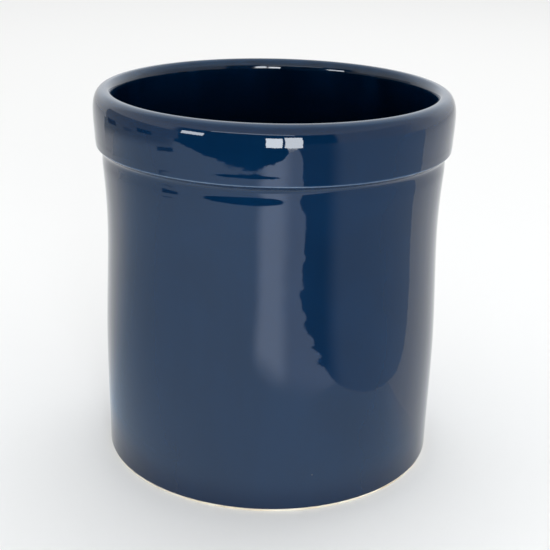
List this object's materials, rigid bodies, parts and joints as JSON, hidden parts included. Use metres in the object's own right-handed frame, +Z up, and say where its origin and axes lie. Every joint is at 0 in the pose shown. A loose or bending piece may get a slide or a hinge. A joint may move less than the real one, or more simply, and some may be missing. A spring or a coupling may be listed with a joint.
{
  "type": "stoneware crock",
  "caption": "Open straight-sided stoneware crock with a rolled collar, glazed inside and out, bare at the foot. For butter, dry goods or fermenting.",
  "frame": {"origin": "centre of the base, on the plane the crock rests on", "axes": "+Z up along the crock's axis, out of the mouth; the crock is round, so X and Y are any two level directions"},
  "size_m": [0.1892, 0.1892, 0.2],
  "materials": {
    "bare_stoneware": "matt fired clay, warm cream",
    "navy_glaze_outside": "high gloss navy blue glaze",
    "navy_glaze_inside": "high gloss navy blue glaze"
  },
  "bodies": {
    "root": {"stoneware_body": "bare_stoneware", "outer_glaze": "navy_glaze_outside", "liner_glaze": "navy_glaze_inside"}
  },
  "joints": []
}
